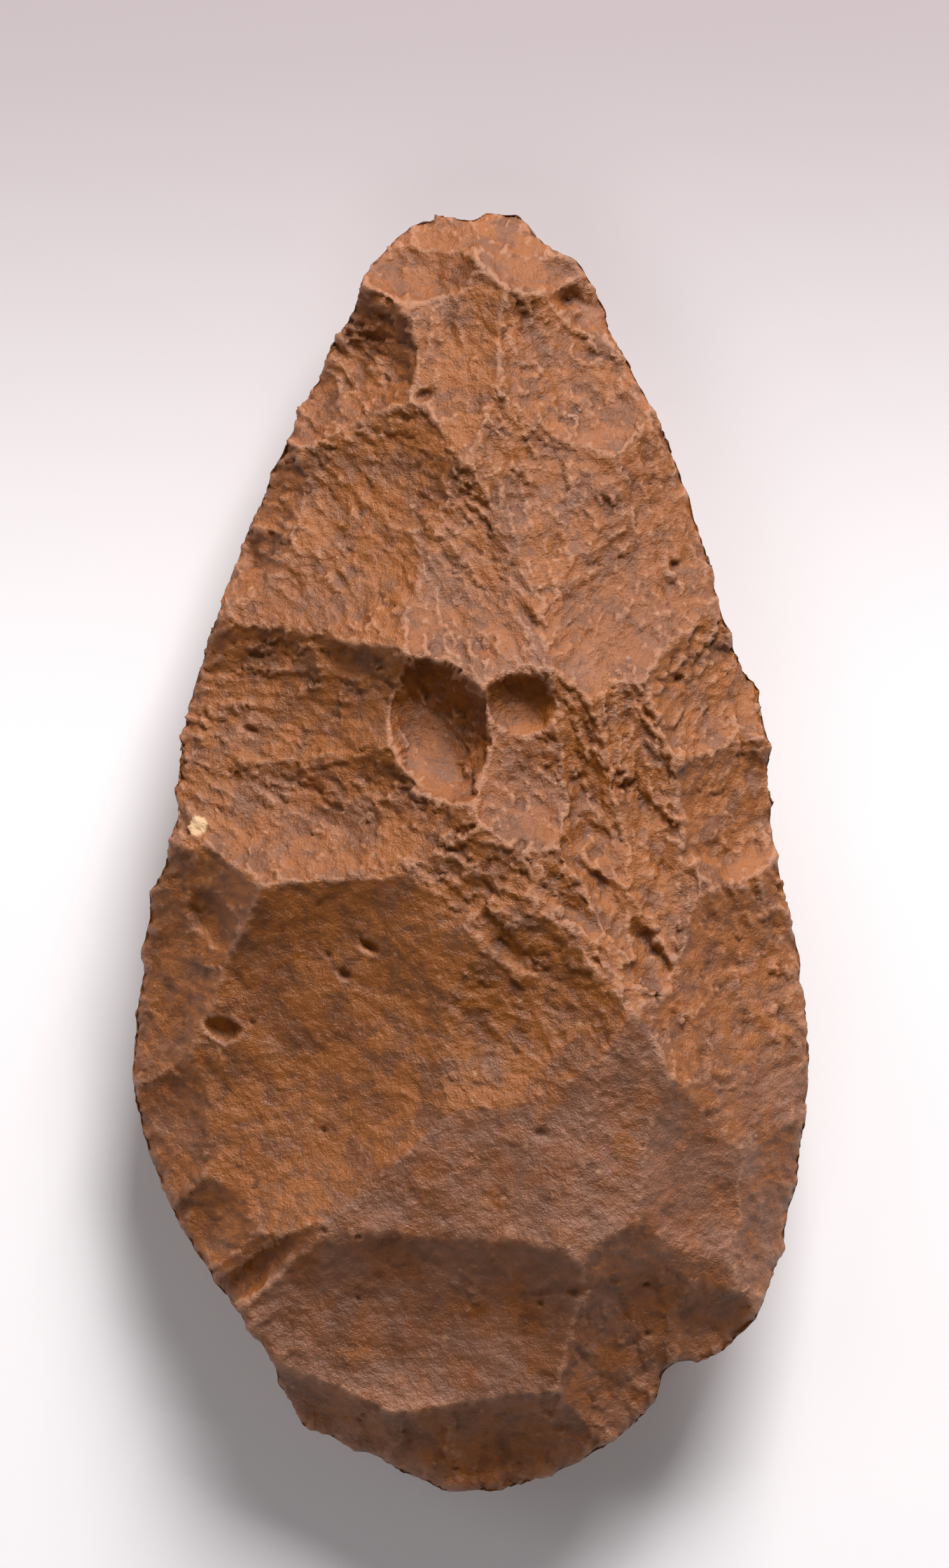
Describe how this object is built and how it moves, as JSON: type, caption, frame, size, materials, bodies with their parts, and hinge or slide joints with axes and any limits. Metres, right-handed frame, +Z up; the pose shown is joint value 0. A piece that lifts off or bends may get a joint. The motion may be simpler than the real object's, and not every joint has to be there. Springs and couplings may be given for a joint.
{
  "type": "stone hand axe",
  "caption": "Knapped teardrop stone hand axe with a blunt rounded butt, a narrowed tip and flaked faces that meet in a worn sharp edge.",
  "frame": {"origin": "ground plane under the middle of the lying axe", "axes": "+X across the face, +Y from the butt to the tip, +Z up out of the more carved face"},
  "size_m": [0.0952, 0.1796, 0.0403],
  "materials": {
    "stone": "matte brown patinated stone, a little shiny on worn ridges"
  },
  "bodies": {
    "root": {"hand_axe": "stone"}
  },
  "joints": []
}
